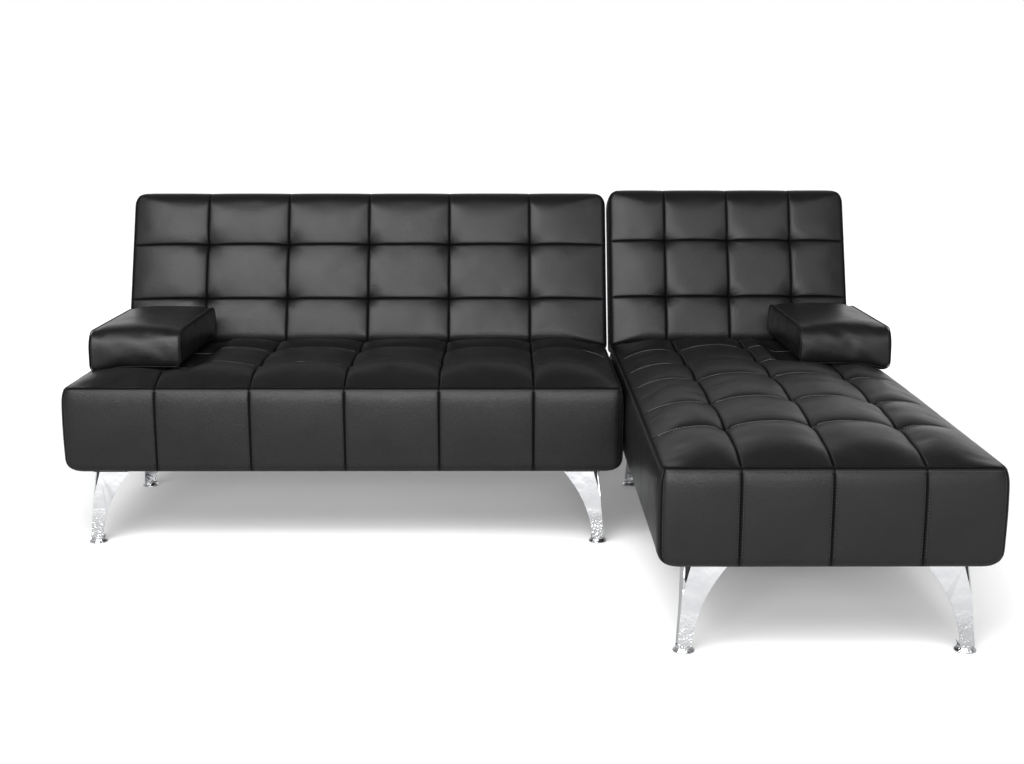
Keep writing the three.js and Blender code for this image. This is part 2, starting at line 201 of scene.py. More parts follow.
def new_mesh(name, verts, faces):
    mesh = bpy.data.meshes.new(name)
    mesh.from_pydata(np.asarray(verts).tolist(), [], [list(map(int, f)) for f in faces])
    return mesh


def mesh_object(name, verts, faces, material):
    mesh = new_mesh(name, verts, faces)
    mesh.update()
    mesh.polygons.foreach_set("use_smooth", [True] * len(mesh.polygons))
    mesh.materials.append(material)
    return link(bpy.data.objects.new(name, mesh))


def paint_seam_shade(obj, values):
    """Writes painted shade as an attribute for its material: how dark and dull the leather is drawn at each
    point.
    """
    attribute = obj.data.attributes.new("seam", "FLOAT", "POINT")
    attribute.data.foreach_set("value", values.astype(np.float32))


def quads(*corners):
    return np.stack(corners, axis=-1).reshape(-1, 4)


def block_topology(nu, nv, rings, closed=True):
    """Faces of a closed block of grids: a top of nu by nv points, rings of wall points, and a base."""
    top = np.arange(nu * nv).reshape(nu, nv)
    along_u, along_v = np.arange(nu), np.arange(1, nv)
    back_u, back_v = along_u[-2::-1], along_v[-2::-1]
    loop_i = np.concatenate([along_u, np.full(nv - 1, nu - 1), back_u, np.zeros(nv - 2, int)])
    loop_j = np.concatenate([np.zeros(nu, int), along_v, np.full(nu - 1, nv - 1), back_v])
    count = len(loop_i)
    walls = [top[loop_i, loop_j]] + [nu * nv + k * count + np.arange(count) for k in range(rings)]
    faces = [quads(top[:-1, :-1], top[1:, :-1], top[1:, 1:], top[:-1, 1:])]
    for a, b in zip(walls, walls[1:]):
        faces.append(quads(a, b, np.roll(b, -1), np.roll(a, -1)))
    if closed:
        base = np.empty((nu, nv), int)
        base[1:-1, 1:-1] = nu * nv + rings * count + np.arange((nu - 2) * (nv - 2)).reshape(nu - 2, nv - 2)
        base[loop_i, loop_j] = walls[-1]
        faces.append(quads(base[:-1, :-1], base[:-1, 1:], base[1:, 1:], base[1:, :-1]))
    return np.concatenate(faces), loop_i, loop_j


def ease(values, faces, held, rounds):
    """Evens out values over a mesh by neighbour averages. Held points keep theirs."""
    faces = np.asarray(faces)
    first, second = faces.reshape(-1), np.roll(faces, -1, axis=1).reshape(-1)
    count = np.bincount(first, minlength=len(values)) + np.bincount(second, minlength=len(values))
    free = np.ones(len(values), bool)
    free[held] = False
    for _ in range(rounds):
        total = np.zeros_like(values)
        np.add.at(total, first, values[second])
        np.add.at(total, second, values[first])
        values = np.where(free[:, None], 0.5 * values + 0.5 * total / np.maximum(count, 1)[:, None], values)
    return values


def inflate(verts, faces, pinned, pressure, slack, frames, cap, rounds):
    """Cloth blown up from inside: every point's move, none of them past cap."""
    mesh = new_mesh("cloth_work", verts, faces)
    obj = link(bpy.data.objects.new("cloth_work", mesh))
    group = obj.vertex_groups.new(name="pin")
    group.add([int(i) for i in pinned], 1.0, "REPLACE")
    cloth = obj.modifiers.new("inflate", "CLOTH")
    settings = cloth.settings
    settings.quality = 6
    settings.mass = 0.25
    settings.tension_stiffness = settings.compression_stiffness = 18
    settings.shear_stiffness = 8
    settings.bending_stiffness = 0.4
    settings.use_pressure = True
    settings.uniform_pressure_force = pressure
    settings.shrink_min = -slack
    settings.vertex_group_mass = "pin"
    settings.effector_weights.gravity = 0
    cloth.collision_settings.use_collision = False
    cloth.point_cache.frame_end = frames
    scene = bpy.context.scene
    for number in range(1, frames + 1):
        scene.frame_set(number)
    result = obj.evaluated_get(bpy.context.evaluated_depsgraph_get())
    moved = np.empty(len(mesh.vertices) * 3)
    result.data.vertices.foreach_get("co", moved)
    bpy.data.objects.remove(obj)
    bpy.data.meshes.remove(mesh)
    scene.frame_set(1)
    move = ease(moved.reshape(-1, 3) - np.asarray(verts), faces, pinned, rounds)
    length = np.linalg.norm(move, axis=1, keepdims=True)
    return move * np.minimum(1, cap * np.tanh(length / cap) / np.maximum(length, 1e-9))


# ---------------------------------------------------------------- materials
def add_node(tree, kind, sockets=(), **settings):
    """A new node. A socket takes a link where its value is another node's socket."""
    node = tree.nodes.new(kind)
    for key, value in settings.items():
        setattr(node, key, value)
    for socket, value in dict(sockets).items():
        if isinstance(value, bpy.types.NodeSocket):
            tree.links.new(value, node.inputs[socket])
        else:
            node.inputs[socket].default_value = value
    return node


class Finish:
    """A node material on one Principled shader."""

    def __init__(self, name, color, roughness, **sockets):
        self.material = bpy.data.materials.new(name)
        self.material.use_nodes = True
        self.tree = self.material.node_tree
        self.shader = self.tree.nodes["Principled BSDF"]
        self.shader.inputs["Base Color"].default_value = (*color, 1)
        self.shader.inputs["Roughness"].default_value = roughness
        for socket, value in sockets.items():
            self.shader.inputs[socket.replace("_", " ")].default_value = value
        self.place = self.add("ShaderNodeTexCoord").outputs["Object"]
        self.bump_normal = None

    def add(self, kind, sockets=(), **settings):
        return add_node(self.tree, kind, sockets, **settings)

    def noise(self, scale, detail=3.0, roughness=0.55):
        sockets = {"Vector": self.place, "Scale": scale, "Detail": detail, "Roughness": roughness}
        return self.add("ShaderNodeTexNoise", sockets).outputs["Fac"]

    def cells(self, scale, feature="DISTANCE_TO_EDGE"):
        sockets = {"Vector": self.place, "Scale": scale}
        return self.add("ShaderNodeTexVoronoi", sockets, feature=feature).outputs["Distance"]

    def span(self, source, low, high, start=0.0, end=1.0):
        sockets = {"Value": source, "From Min": start, "From Max": end, "To Min": low, "To Max": high}
        return self.add("ShaderNodeMapRange", sockets).outputs["Result"]

    def ramp(self, source, low_color, high_color, low=0.3, high=0.7):
        node = self.add("ShaderNodeValToRGB", {"Fac": source})
        first, last = node.color_ramp.elements
        first.position, last.position = low, high
        first.color, last.color = (*low_color, 1), (*high_color, 1)
        return node.outputs["Color"]

    def mix(self, factor, first, second):
        sides = [x if isinstance(x, bpy.types.NodeSocket) else (*x, 1) for x in (first, second)]
        sockets = {0: factor, 6: sides[0], 7: sides[1]}
        return self.add("ShaderNodeMix", sockets, data_type="RGBA").outputs[2]

    def math(self, operation, first, second):
        return self.add("ShaderNodeMath", {0: first, 1: second}, operation=operation).outputs[0]

    def link(self, source, socket):
        self.tree.links.new(source, self.shader.inputs[socket])

    def color(self, source):
        self.link(source, "Base Color")

    def roughness(self, source):
        self.link(source, "Roughness")

    def bump(self, source, distance, strength=1.0):
        sockets = {"Height": source, "Strength": strength, "Distance": distance}
        if self.bump_normal:
            sockets["Normal"] = self.bump_normal
        self.bump_normal = self.add("ShaderNodeBump", sockets).outputs["Normal"]
        self.link(self.bump_normal, "Normal")


def leather():
    finish = Finish("black_leather", (0.007, 0.007, 0.0073), 0.35, Specular_IOR_Level=0.42)
    # The seam attribute is painted shade: it darkens the colour, dulls the roughness and takes the reflection
    # away in the sewn grooves and along their stitch lines.
    seam = finish.add("ShaderNodeAttribute", attribute_name="seam").outputs["Fac"]
    tone = finish.ramp(finish.noise(9, 4), (0.0050, 0.0050, 0.0053), (0.0080, 0.0080, 0.0084))
    finish.color(finish.mix(seam, tone, (0.004, 0.004, 0.0045)))
    rub = finish.span(finish.noise(14, 5, 0.6), 0.29, 0.39, 0.3, 0.7)
    finish.roughness(finish.math("ADD", rub, finish.math("MULTIPLY", seam, 0.12)))
    finish.link(finish.span(seam, 0.42, 0.03), "Specular IOR Level")
    finish.bump(finish.noise(38, 3, 0.5), 0.8 * MM, 0.3)
    finish.bump(finish.noise(190, 3, 0.6), 0.9 * MM, 0.55)
    finish.bump(finish.span(finish.cells(520), 0, 1, 0.0, 0.28), 0.14 * MM, 0.6)
    return finish.material


def coat(name, color, roughness, dark, light, tint, grain, height, strength=0.6, rub=None, **sockets):
    """A coat with mottled colour, a fine grain and, with rub, uneven roughness: its noise scale and range."""
    finish = Finish(name, color, roughness, **sockets)
    finish.color(finish.ramp(finish.noise(*tint), dark, light))
    if rub:
        scale, low, high = rub
        finish.roughness(finish.span(finish.noise(scale, 2), low, high, 0.3, 0.7))
    finish.bump(finish.noise(*grain), height, strength)
    return finish.material


def chrome():
    finish = Finish("chrome", (0.80, 0.81, 0.83), 0.09, Metallic=1.0)
    finish.color(finish.ramp(finish.noise(7, 3), (0.72, 0.73, 0.75), (0.86, 0.87, 0.89)))
    finish.roughness(finish.span(finish.noise(45, 4, 0.6), 0.04, 0.12, 0.3, 0.7))
    height = finish.add("ShaderNodeSeparateXYZ", {"Vector": finish.place}).outputs["Z"]
    low = finish.span(height, 1.0, 0.0, 0.045, 0.095)
    finish.bump(finish.math("MULTIPLY", finish.noise(150, 2, 0.5), low), 2.4 * MM, 1.0)
    finish.bump(finish.noise(26, 2, 0.45), 1.6 * MM, 0.5)
    finish.bump(finish.noise(12, 2), 1.0 * MM, 0.25)
    return finish.material


def zinc():
    finish = Finish("zinc_steel", (0.5, 0.51, 0.52), 0.4, Metallic=1.0)
    finish.color(finish.ramp(finish.cells(140, "F1"), (0.36, 0.37, 0.38), (0.56, 0.57, 0.58), 0.0, 0.9))
    finish.roughness(finish.span(finish.noise(90, 3), 0.30, 0.50, 0.3, 0.7))
    finish.bump(finish.noise(700, 2), 0.04 * MM, 0.4)
    return finish.material


def plywood():
    finish = Finish("plywood", (0.5, 0.35, 0.2), 0.65)
    stretch = finish.add("ShaderNodeMapping", {"Vector": finish.place, "Scale": (1.2, 22.0, 22.0)})
    finish.place = stretch.outputs["Vector"]
    grain = finish.noise(5, 6, 0.6)
    finish.color(finish.ramp(grain, (0.33, 0.20, 0.105), (0.56, 0.40, 0.235)))
    finish.roughness(finish.span(grain, 0.55, 0.75))
    finish.bump(grain, 0.25 * MM, 0.5)
    return finish.material


def dust_cloth():
    finish = Finish("dust_cloth", (0.025, 0.025, 0.027), 0.9, Sheen_Weight=0.25)
    web = finish.noise(260, 5, 0.7)
    finish.color(finish.ramp(web, (0.012, 0.012, 0.013), (0.045, 0.045, 0.048)))
    finish.roughness(finish.span(web, 0.8, 1.0))
    finish.bump(web, 0.25 * MM, 0.8)
    return finish.material


def floor_finish():
    """Pale floor that turns into an even white cove away from the set, and a grey one in reflections."""
    white = (1, 1, 1, 1)
    finish = Finish("studio_floor", (0.86, 0.86, 0.86), 0.8, Specular_IOR_Level=0.2, Emission_Color=white)
    seen = finish.add("ShaderNodeLightPath").outputs["Is Camera Ray"]
    pale = finish.ramp(finish.noise(2, 3), (0.85, 0.85, 0.85), (0.87, 0.87, 0.87))
    finish.color(finish.mix(seen, (0.32, 0.32, 0.32), pale))
    away = finish.add("ShaderNodeVectorMath", {0: finish.place}, operation="LENGTH")
    cove = finish.span(away.outputs["Value"], 0.08, 0.9, 1.5, 4.0)
    finish.link(finish.math("MULTIPLY", cove, finish.span(seen, 0.5, 1.0)), "Emission Strength")
    return finish.material


def thread(name, dark, light):
    return coat(name, light, 0.42, dark, light, (600, 2), (2400, 1), 0.12 * MM)


LEATHER, CHROME, ZINC, PLY, DUST = leather(), chrome(), zinc(), plywood(), dust_cloth()
THREAD = thread("black_thread", (0.022, 0.022, 0.023), (0.045, 0.045, 0.047))
# A lighter copy of the black thread for the seat row seams: a painted highlight along those stitches.
ROW_HIGHLIGHT_THREAD = thread("grey_thread", (0.19, 0.19, 0.195), (0.28, 0.28, 0.285))
PIPING = coat(
    "piping_leather", (0.012, 0.012, 0.0125), 0.55, (0.009, 0.009, 0.0095), (0.015, 0.015, 0.0155),
    (20, 3), (500, 2), 0.10 * MM, 0.5, Specular_IOR_Level=0.14,
)
STEEL = coat(
    "powder_coated_steel", (0.03, 0.03, 0.032), 0.5, (0.024, 0.024, 0.026), (0.042, 0.042, 0.045),
    (30, 4), (900, 2), 0.10 * MM, rub=(120, 0.42, 0.62),
)
PLASTIC = coat(
    "black_plastic", (0.02, 0.02, 0.021), 0.45, (0.014, 0.014, 0.015), (0.026, 0.026, 0.028),
    (60, 3), (1500, 2), 0.06 * MM, rub=(200, 0.36, 0.52),
)


# ---------------------------------------------------------------- tufted blocks
BLOCK_DEFAULTS = dict(
    start_roll=0.0, end_roll=0.0, roll_stretch=1.6, crest=0.0,
    start_seams=False, end_seams=False, pressed=(), rim_drop=0.0, scallop=0.0,
    base_radii=(22 * MM, 22 * MM), corner_start=22 * MM, corner_end=22 * MM, edge_fold=(9 * MM, 40 * MM),
    bulge=6 * MM, end_bulge=0.0, power=TUFT_POWER, pit_reach=16 * MM, pit_power=1.5, pucker=0.7 * MM,
    valley=(3.5 * MM, 9 * MM), cut=(3.2 * MM, 2.1 * MM), lip=0.5 * MM, cloth=(1.5, 0.008, 7 * MM),
)


class Block:
    """A stuffed block with a tufted face, in its own (u, v, w) frame."""

    def __init__(self, name, seed, **spec):
        self.name, self.seed = name, seed
        self.__dict__.update({**BLOCK_DEFAULTS, **spec})
        self.columns = [-self.half, *self.columns, self.half]
        self.rows = [self.start, *self.rows, self.end]
        self.crossings = [(c, r) for c in self.columns[1:-1] for r in self.rows[1:-1]]
        self.axes = np.array([self.u_axis, self.v_axis, self.w_axis], float)

    # --- the tufted face
    def cell(self, x, seams):
        seams = np.array(seams)
        index = np.clip(np.searchsorted(seams, x, side="right") - 1, 0, len(seams) - 2)
        return index, (x - seams[index]) / (seams[index + 1] - seams[index])

    def seam_distance(self, u, v):
        to_columns, to_rows = [u - c for c in self.columns[1:-1]], [v - r for r in self.rows[1:-1]]
        return np.min(np.abs(to_columns + to_rows), axis=0)

    def edge_distance(self, u, v):
        """Distance to the sewn edge round the tufted face."""
        edge = self.half - np.abs(u)
        if not self.start_roll:
            edge = np.minimum(edge, v - self.start)
        if not self.end_roll:
            edge = np.minimum(edge, self.end - v)
        return edge

    def tufts(self, u, v):
        """Height of the puffs above their crossings."""
        row_lift, column_lift, crest = self.lift
        column, a = self.cell(u, self.columns)
        row, b = self.cell(v, self.rows)
        last_column, last_row = len(self.columns) - 2, len(self.rows) - 2
        rng = np.random.default_rng(self.seed)
        uneven = rng.uniform(0.88, 1.12, (last_column + 1, last_row + 1))[column, row]
        bump_a = 1 - np.abs(2 * a - 1) ** self.power
        bump_b = 1 - np.abs(2 * b - 1) ** self.power
        near = np.where((row > 0) | (self.start_roll > 0), row_lift, 0)
        far = np.where((row < last_row) | (self.end_roll > 0), row_lift, 0)
        left = np.where(column > 0, column_lift, 0)
        right = np.where(column < last_column, column_lift, 0)
        along_rows = bump_a * (near * (1 - smooth(b)) + far * smooth(b))
        along_columns = bump_b * (left * (1 - smooth(a)) + right * smooth(a))
        fullness = crest * uneven - (near + far + left + right) / 2
        return along_rows + along_columns + fullness * bump_a * bump_b

    def pits(self, u, v):
        mask = np.zeros_like(u)
        for c, r in self.crossings:
            away = np.hypot((u - c) / PIT_STRETCH, v - r) / self.pit_reach
            mask = np.maximum(mask, np.exp(-(away**self.pit_power)))
        return self.pit * mask

    def puckers(self, u, v):
        """Short folds that run out of each crossing, where the cover is pulled down."""
        folds = np.zeros_like(u)
        rng = np.random.default_rng(self.seed + 5)
        for c, r in self.crossings:
            phase, count = rng.uniform(0, 6.28), rng.integers(*PUCKER_COUNTS)
            radius = np.hypot(u - c, v - r) / PUCKER_REACH
            angle = np.arctan2(v - r, u - c)
            fade = radius * np.exp(1 - radius)
            folds += self.pucker * fade * np.sin(count * angle + phase + PUCKER_TWIST * np.sin(2 * angle))
        return folds

    def grooves(self, u, v):
        distance = self.seam_distance(u, v)
        valley = self.valley[0] * np.exp(-distance / self.valley[1])
        cut = self.cut[0] * np.exp(-((distance / self.cut[1]) ** 2))
        lip = self.lip * np.exp(-(((distance - LIP_OFFSET) / LIP_REACH) ** 2))
        return valley + cut - lip

    def height(self, u, v, plain=False):
        """Height of the tufted face. A plain face has no grooves or folds."""
        low, high = self.edge_levels
        edge = low + (high - low) * np.clip((v - self.start) / EDGE_RAMP, 0, 1)
        reach_u, reach_v = self.crown_reach
        rise = 1 - (1 - np.clip((self.half - np.abs(u)) / reach_u, 0, 1)) ** 2
        if not self.start_roll:
            rise = rise * (1 - (1 - np.clip((v - self.start) / reach_v, 0, 1)) ** 2)
        total = edge + self.rise * rise + self.tufts(u, v) - self.pits(u, v)
        to_edge = self.edge_distance(u, v)
        total += waves(u, v, self.seed, WAVE_SIZE, WAVE_HEIGHT) * smooth(to_edge / WAVE_FADE)
        end_v = round_corner(np.abs(u), v, self.half, self.end, self.corner_end, 1)[1]
        for near, radius in ((v - self.start, self.start_roll), (self.end - end_v, self.end_roll)):
            near = np.clip(near, 0, None)
            if radius and self.crest:
                reach = radius * self.roll_stretch
                arc = self.level + self.crest - (radius + self.crest) * arc_inset(near, reach) / reach
                total = soft_min(total, arc, 2 * MM)
            elif radius:
                beyond = np.clip(near - radius, 0, None)
                arc = self.level + ROLL_PROUD - arc_inset(near, radius)
                total = soft_min(total, arc + ROLL_SLOPE * beyond**2 / (beyond + ROLL_EASE), 3 * MM)
        for low_u, high_u, low_v, high_v, limit in self.pressed:
            out_u = np.clip(np.maximum(low_u - u, u - high_u), 0, None)
            out_v = np.clip(np.maximum(low_v - v, v - high_v), 0, None)
            away = smooth((np.hypot(out_u, out_v) - PRESS_REACH) / PRESS_EASE)
            total = soft_min(total, limit + PRESS_RISE * away, 2 * MM)
        if plain:
            return total
        sewn = EDGE_DEPTH * np.exp(-((to_edge / EDGE_WIDTH) ** 2))
        fade = smooth(to_edge / GROOVE_FADE) * 0.75 + 0.25
        return total - self.grooves(u, v) * fade + self.puckers(u, v) - sewn

    # --- the whole surface
    def surface(self, u, v, t, plain=False):
        """Points in (u, v, w) from grid coordinates: t is 0 on the tufted face and 1 on the base."""
        top = self.height(u, v, plain)
        base = self.base - self.rim_drop * (1 - smooth((v - self.start) / RIM_REACH))
        w = top + (base - top) * t
        fold_in, fold_deep = self.edge_fold
        fold = fold_in * arc_inset(top - w, fold_deep) / fold_deep
        foot_u, foot_v = (arc_inset(w - base, r) for r in self.base_radii)
        side = fold + foot_u
        near = (0 if self.start_roll else fold) + foot_v
        far = (0 if self.end_roll else fold) + foot_v
        x = np.abs(u) - side * smooth((np.abs(u) - self.half) / INSET_REACH + 1)
        y = v + near * smooth((self.start - v) / INSET_REACH + 1)
        y = y - far * smooth((v - self.end) / INSET_REACH + 1)
        if self.scallop:
            a = self.cell(u, self.columns)[1]
            pinch = np.abs(2 * a - 1) ** 3
            y = y - self.scallop * pinch * smooth((v - self.end) / SCALLOP_REACH + 1)
        x, y = round_corner(x, y, self.half - side, self.start + near, self.corner_start, -1)
        x, y = round_corner(x, y, self.half - side, self.end - far, self.corner_end, 1)
        return np.stack([x * np.sign(u), y, w], axis=-1)

    def walls(self, loop_u, loop_v, ts, plain=False):
        """Wall points, ring by ring below the tufted face, bulging between their seams."""
        rings = np.array([self.surface(loop_u, loop_v, np.full_like(loop_u, t), plain) for t in ts])
        plan = rings[0, :, :2]
        steps = np.linalg.norm(np.roll(plan, -1, axis=0) - plan, axis=1)
        around = np.concatenate([[0], np.cumsum(steps)[:-1]])
        at_start, at_end = np.isclose(loop_v, self.start), np.isclose(loop_v, self.end)
        on_column = np.min([np.abs(loop_u - c) for c in self.columns[1:-1]], axis=0) < 1e-6
        on_side = np.isclose(np.abs(loop_u), self.half)
        seamed = (self.start_seams & at_start) | (self.end_seams & at_end)
        sewn = seamed & (on_column | (on_side & (self.start_roll == 0)))
        distance = np.full(len(loop_u), 1.0)
        self.seam_places = around[sewn]
        for place in self.seam_places:
            gap = np.abs(around - place)
            distance = np.minimum(distance, np.minimum(gap, steps.sum() - gap))
        cut = 0 if plain else WALL_CUT_DEPTH * np.exp(-((distance / WALL_CUT_WIDTH) ** 2))
        tangent = unit(np.roll(rings, -1, axis=1) - np.roll(rings, 1, axis=1))
        outward = unit(np.stack([tangent[..., 1], -tangent[..., 0], np.zeros_like(tangent[..., 0])], axis=-1))
        sideways, forward = outward[..., 0] ** 2, outward[..., 1] ** 2
        ends = np.where(outward[..., 1] < 0, 0 if self.start_roll else self.bulge, self.end_bulge)
        swell = (self.bulge * sideways + ends * forward) * (1 - 0.6 * np.exp(-distance / WALL_PINCH))
        ts = np.array(ts)[:, None]
        profile = np.sin(np.pi * ts**0.8)
        hold = smooth(ts / 0.06) * smooth((1 - ts) / 0.10)
        rings += outward * (profile * swell - hold * cut)[..., None]
        return rings, around, distance

    def wall_steps(self, fine):
        """Levels of the wall rings, close together where the wall is rounded."""
        height = self.edge_levels[0] - self.base
        fold, radius = self.edge_fold[1], max(self.base_radii)
        count = 7 if fine else 3
        top = [fold * (1 - math.cos(math.pi / 2 * i / count)) for i in range(1, count + 1)]
        low = [height - radius * (1 - math.cos(math.pi / 2 * i / count)) for i in range(count + 1)]
        middle = np.linspace(top[-1], low[-1], round((low[-1] - top[-1]) / WALL_STEP) + 1)[1:-1]
        if fine:
            top = [WALL_FIRST_STEP] + top
        return sorted(x / height for x in [*top, *middle, *low])

    def lines(self, fine):
        offsets, step = (SEAM_OFFSETS, CELL_STEP) if fine else ([0, 9], 10 * MM)
        us, vs = grid_lines(self.columns, offsets, step), grid_lines(self.rows, offsets, step)
        for radius, end, inward in ((self.start_roll, self.start, 1), (self.end_roll, self.end, -1)):
            if radius:
                vs = with_roll(vs, end, inward, radius, 10 if fine else 5)
        return us, vs

    def grids(self, fine, plain):
        us, vs = self.lines(fine)
        ts = self.wall_steps(fine)
        top_u, top_v = np.meshgrid(us, vs, indexing="ij")
        top = self.surface(top_u, top_v, np.zeros_like(top_u), plain)
        faces, loop_i, loop_j = block_topology(len(us), len(vs), len(ts), closed=fine)
        rings, around, distance = self.walls(us[loop_i], vs[loop_j], ts, plain)
        to_edge = self.edge_distance(top_u, top_v)
        near = np.minimum(self.seam_distance(top_u, top_v), to_edge)
        return us, vs, ts, top, rings, faces, near, around, distance

    def relax(self):
        """Cloth run on a coarse copy, held at its seams: how far its tufted face swells and wrinkles."""
        us, vs, _, top, rings, faces, near, _, _ = self.grids(False, True)
        verts = np.concatenate([top.reshape(-1, 3), rings.reshape(-1, 3)])
        held = (near < 1e-6) | (vs < self.start + self.start_roll) | (vs > self.end - self.end_roll)
        lowest_ring = np.arange(len(verts) - rings.shape[1], len(verts))
        pinned = [*np.flatnonzero(held), *lowest_ring]
        pressure, slack, cap = self.cloth
        move = inflate(verts, faces, pinned, pressure, slack, 16, cap, 3)
        return us, vs, move[: near.size].reshape(top.shape)

    def build(self, material, relaxed=None):
        us, vs, ts, top, rings, faces, near, around, distance = self.grids(True, False)
        if relaxed:
            old_us, old_vs, move = relaxed
            across, along = cubic_weights(old_us, us), cubic_weights(old_vs, vs)
            top += np.einsum("ai,bj,ijk->abk", across, along, move)
        self.top, self.us, self.vs = top, us, vs
        self.ring_grid = np.concatenate([rings, rings[:, :1]], axis=1)
        self.ring_ts = np.array(ts)
        total = around[-1] + np.linalg.norm(rings[0, 0] - rings[0, -1])
        self.ring_around = np.concatenate([around, [total]])
        inner_u, inner_v = np.meshgrid(us[1:-1], vs[1:-1], indexing="ij")
        base = self.surface(inner_u, inner_v, np.ones_like(inner_u))
        local = np.concatenate([g.reshape(-1, 3) for g in (top, rings, base)])
        obj = mesh_object(self.name, self.to_row(local), faces, material)
        # Painted shade: the leather is drawn darker and duller within a few millimetres of each seam and of
        # its stitch line.
        ring_near = np.minimum(distance, self.ring_ts[:, None] * (self.edge_levels[0] - self.base))
        gaps = np.concatenate([near.reshape(-1), ring_near.reshape(-1), np.ones(inner_u.size)])
        gaps = np.minimum(gaps, np.abs(gaps - STITCH_OFFSET) + 2.6 * MM)
        paint_seam_shade(obj, np.exp(-((gaps / SEAM_SHADE_REACH) ** 2)))
        return obj

    def to_row(self, local):
        return np.asarray(local) @ self.axes + np.array(self.origin)

    # --- lines sewn on the surface
    def stitch_lines(self):
        """Lines of (points, outward directions): those behind each row, and all the others."""

        def runs(seams):
            ends = zip(seams, seams[1:])
            return [np.arange(low + STITCH_MARGIN, high - STITCH_MARGIN, 3 * MM) for low, high in ends]

        rows, columns = self.rows, self.columns
        row_lines = [self.on_top(run, row + STITCH_OFFSET) for row in rows[1:-1] for run in runs(columns)]
        lines = [self.on_top(column + STITCH_OFFSET, run) for column in columns[1:-1] for run in runs(rows)]
        around = np.arange(4 * MM, self.ring_around[-1] - 4 * MM, 4 * MM)
        lines.append(self.on_wall(around, 6 * MM / (self.edge_levels[0] - self.base)))
        down = np.linspace(0.06, 0.90, 60)
        for place in self.seam_places:
            for side in (-STITCH_OFFSET, STITCH_OFFSET):
                if 0 < place + side < self.ring_around[-1]:
                    lines.append(self.on_wall(place + side, down))
        return row_lines, lines

    def on_grid(self, grid, a, b, a_step):
        """Points and outward directions on a grid of points with its two sets of lines, in the row frame."""
        a, b = np.broadcast_arrays(np.asarray(a, float), np.asarray(b, float))
        b_step = 1.5 * MM
        along_a = sample(*grid, a + a_step, b) - sample(*grid, a - a_step, b)
        along_b = sample(*grid, a, b + b_step) - sample(*grid, a, b - b_step)
        return self.to_row(sample(*grid, a, b)), unit(np.cross(along_a, along_b)) @ self.axes

    def on_top(self, u, v):
        return self.on_grid((self.top, self.us, self.vs), u, v, 1.5 * MM)

    def on_wall(self, around, t):
        return self.on_grid((self.ring_grid, self.ring_ts, self.ring_around), t, around, 0.01)


def round_corner(x, y, x_end, y_end, radius, outward):
    """Draws a square corner of the plan in to a round one."""
    px = x - (x_end - radius)
    py = (y - y_end) * outward + radius
    both = (px > 0) & (py > 0)
    scale = np.where(both, np.maximum(px, py) / np.maximum(np.hypot(px, py), 1e-9), 1)
    new_x = np.where(both, x_end - radius + px * scale, x)
    new_y = np.where(both, y_end + outward * (py * scale - radius), y)
    return new_x, new_y


def stitches(lines):
    """Verts and faces of small thread stitches laid along lines of (points, outward directions)."""
    centres, alongs, outs = [], [], []
    for points, normals in lines:
        lengths = np.concatenate([[0], np.cumsum(np.linalg.norm(np.diff(points, axis=0), axis=1))])
        places = np.arange(STITCH_PITCH / 2, lengths[-1], STITCH_PITCH)

        def at(values, shift=0.0):
            return np.stack([np.interp(places + shift, lengths, column) for column in values.T], axis=1)

        centres.append(at(points))
        alongs.append(unit(at(points, MM) - at(points, -MM)))
        outs.append(unit(at(normals)))
    centre, along, out = (np.concatenate(part) for part in (centres, alongs, outs))
    side = unit(np.cross(along, out))
    sides, half = 5, STITCH_LENGTH / 2
    verts = [centre - along * half - out * 0.5 * MM]
    for shift in (-0.5, 0.5):
        for k in range(sides):
            angle = 2 * math.pi * k / sides
            around = side * math.cos(angle) + out * (0.3 + math.sin(angle))
            verts.append(centre + along * half * shift + around * STITCH_RADIUS)
    verts.append(centre + along * half - out * 0.5 * MM)
    per = len(verts)
    verts = np.stack(verts, axis=1).reshape(-1, 3)
    pattern = []
    for k in range(sides):
        a, b = 1 + k, 1 + (k + 1) % sides
        pattern += [(0, b, a), (a, b, b + sides), (a, b + sides, a + sides), (a + sides, b + sides, per - 1)]
    pattern = np.array(pattern)
    faces = (np.arange(len(centre))[:, None, None] * per + pattern[None]).reshape(-1, 3)
    return verts, faces


def tube(points, closed=True, radius=BEAD, sides=8):
    """Verts and faces of a round cord along points."""
    if closed:
        tangent = unit(np.roll(points, -1, axis=0) - np.roll(points, 1, axis=0))
    else:
        tangent = unit(np.gradient(points, axis=0))
    first = np.cross(tangent[0], [0.0, 0.0, 1.0] if abs(tangent[0][2]) < 0.8 else [1.0, 0.0, 0.0])
    normals = [unit(first)]
    for k in range(1, len(points)):
        carried = normals[-1] - tangent[k] * np.dot(normals[-1], tangent[k])
        normals.append(unit(carried))
    normals = np.array(normals)
    other = np.cross(tangent, normals)
    angles = 2 * math.pi * np.arange(sides) / sides
    circle = np.cos(angles)[:, None] * normals[:, None] + np.sin(angles)[:, None] * other[:, None]
    verts = points[:, None] + radius * circle
    ring = np.arange(len(points) * sides).reshape(-1, sides)
    ahead = np.roll(ring, -1, axis=0)
    if not closed:
        ring, ahead = ring[:-1], ahead[:-1]
    faces = quads(ring, np.roll(ring, -1, axis=1), np.roll(ahead, -1, axis=1), ahead).tolist()
    if not closed:
        faces += [ring[0][::-1].tolist(), ahead[-1].tolist()]
    return verts.reshape(-1, 3), faces


def dress(obj, body, nodes=()):
    """Gives a piece its body, and hides the CAD nodes that it stands for."""
    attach(obj, body)
    if nodes:
        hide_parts(*nodes)
    return obj


# ---------------------------------------------------------------- seats and backs
UP_SLOPE = (0.0, math.sin(RECLINE), math.cos(RECLINE))
OUT_OF_BACK = (0.0, -math.cos(RECLINE), math.sin(RECLINE))


